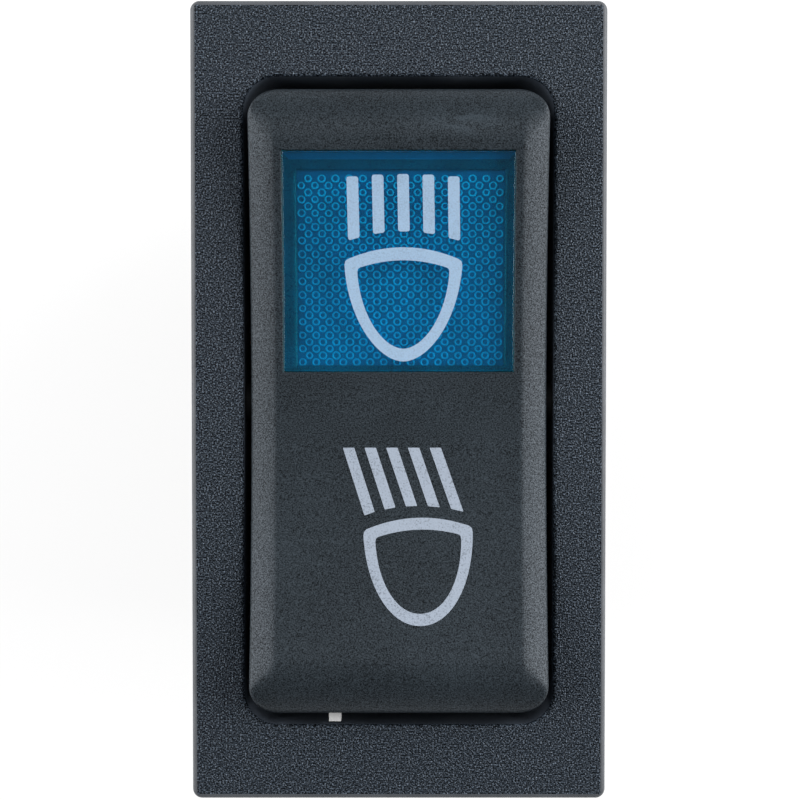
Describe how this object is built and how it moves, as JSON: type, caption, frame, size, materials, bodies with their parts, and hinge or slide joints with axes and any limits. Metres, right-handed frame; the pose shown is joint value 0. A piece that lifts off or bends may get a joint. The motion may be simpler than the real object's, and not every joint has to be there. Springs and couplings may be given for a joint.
{
  "type": "headlamp beam rocker switch",
  "caption": "Snap-in panel rocker switch with a dished black rocker, a blue indicator window, a grained bezel, panel latches and blade terminals.",
  "frame": {"origin": "middle of the bezel's back face, in the plane of the panel's front", "axes": "+Z out of the panel at the user, +Y towards the end with the blue window, +X to the right seen from in front"},
  "size_m": [0.026, 0.05, 0.0411],
  "materials": {
    "housing_plastic": "coarse moulded grain",
    "base_plastic": "fine moulded grain",
    "rocker_plastic": "fine matte grain",
    "window_plastic": "clear blue with a dotted back",
    "white_plastic": "smooth white moulding",
    "socket_plastic": "smooth cream moulding",
    "spring_steel": "drawn wire",
    "contact_copper": "stamped copper alloy",
    "contact_silver": "silver alloy",
    "terminal_brass": "stamped brass",
    "lamp_glass": "clear glass"
  },
  "bodies": {
    "housing": {"bezel_housing": "housing_plastic", "terminal_base": "base_plastic", "fixed_contacts": "contact_silver", "common_terminal_left": "terminal_brass", "common_terminal_right": "terminal_brass", "main_beam_terminal_left": "terminal_brass", "main_beam_terminal_right": "terminal_brass", "dipped_beam_terminal_left": "terminal_brass", "dipped_beam_terminal_right": "terminal_brass", "lamp_terminal_upper": "terminal_brass", "lamp_terminal_lower": "terminal_brass", "lamp_socket": "socket_plastic", "lamp_bulb": "lamp_glass"},
    "rocker": {"rocker_cap": "rocker_plastic", "rocker_cradle": "white_plastic", "window_lens": "window_plastic", "spring_left": "spring_steel", "spring_right": "spring_steel"},
    "left_plunger": {"plunger_left": "white_plastic"},
    "right_plunger": {"plunger_right": "white_plastic"},
    "left_contact_rocker": {"contact_rocker_left": "contact_copper", "moving_contacts_left": "contact_silver"},
    "right_contact_rocker": {"contact_rocker_right": "contact_copper", "moving_contacts_right": "contact_silver"}
  },
  "joints": [
    {"name": "rocker_tilt", "type": "hinge", "parent": "housing", "child": "rocker", "pos_m": [0, 0, 0.0016], "axis": [1, 0, 0], "range_deg": [-7, 7]},
    {"name": "left_contact_tilt", "type": "hinge", "parent": "housing", "child": "left_contact_rocker", "pos_m": [-0.005, 0, -0.016], "axis": [1, 0, 0], "range_deg": [-7, 7]},
    {"name": "right_contact_tilt", "type": "hinge", "parent": "housing", "child": "right_contact_rocker", "pos_m": [0.005, 0, -0.016], "axis": [1, 0, 0], "range_deg": [-7, 7]},
    {"name": "left_plunger_slide", "type": "slide", "parent": "rocker", "child": "left_plunger", "axis": [0, 0, 1], "range_m": [0, 0.0008], "stiffness_N_per_m": 500, "deforming": ["spring_left"]},
    {"name": "right_plunger_slide", "type": "slide", "parent": "rocker", "child": "right_plunger", "axis": [0, 0, 1], "range_m": [0, 0.0008], "stiffness_N_per_m": 500, "deforming": ["spring_right"]}
  ],
  "couplings": [
    {"joint": "left_contact_tilt", "follows": "rocker_tilt", "ratio": -1},
    {"joint": "right_contact_tilt", "follows": "rocker_tilt", "ratio": -1}
  ]
}
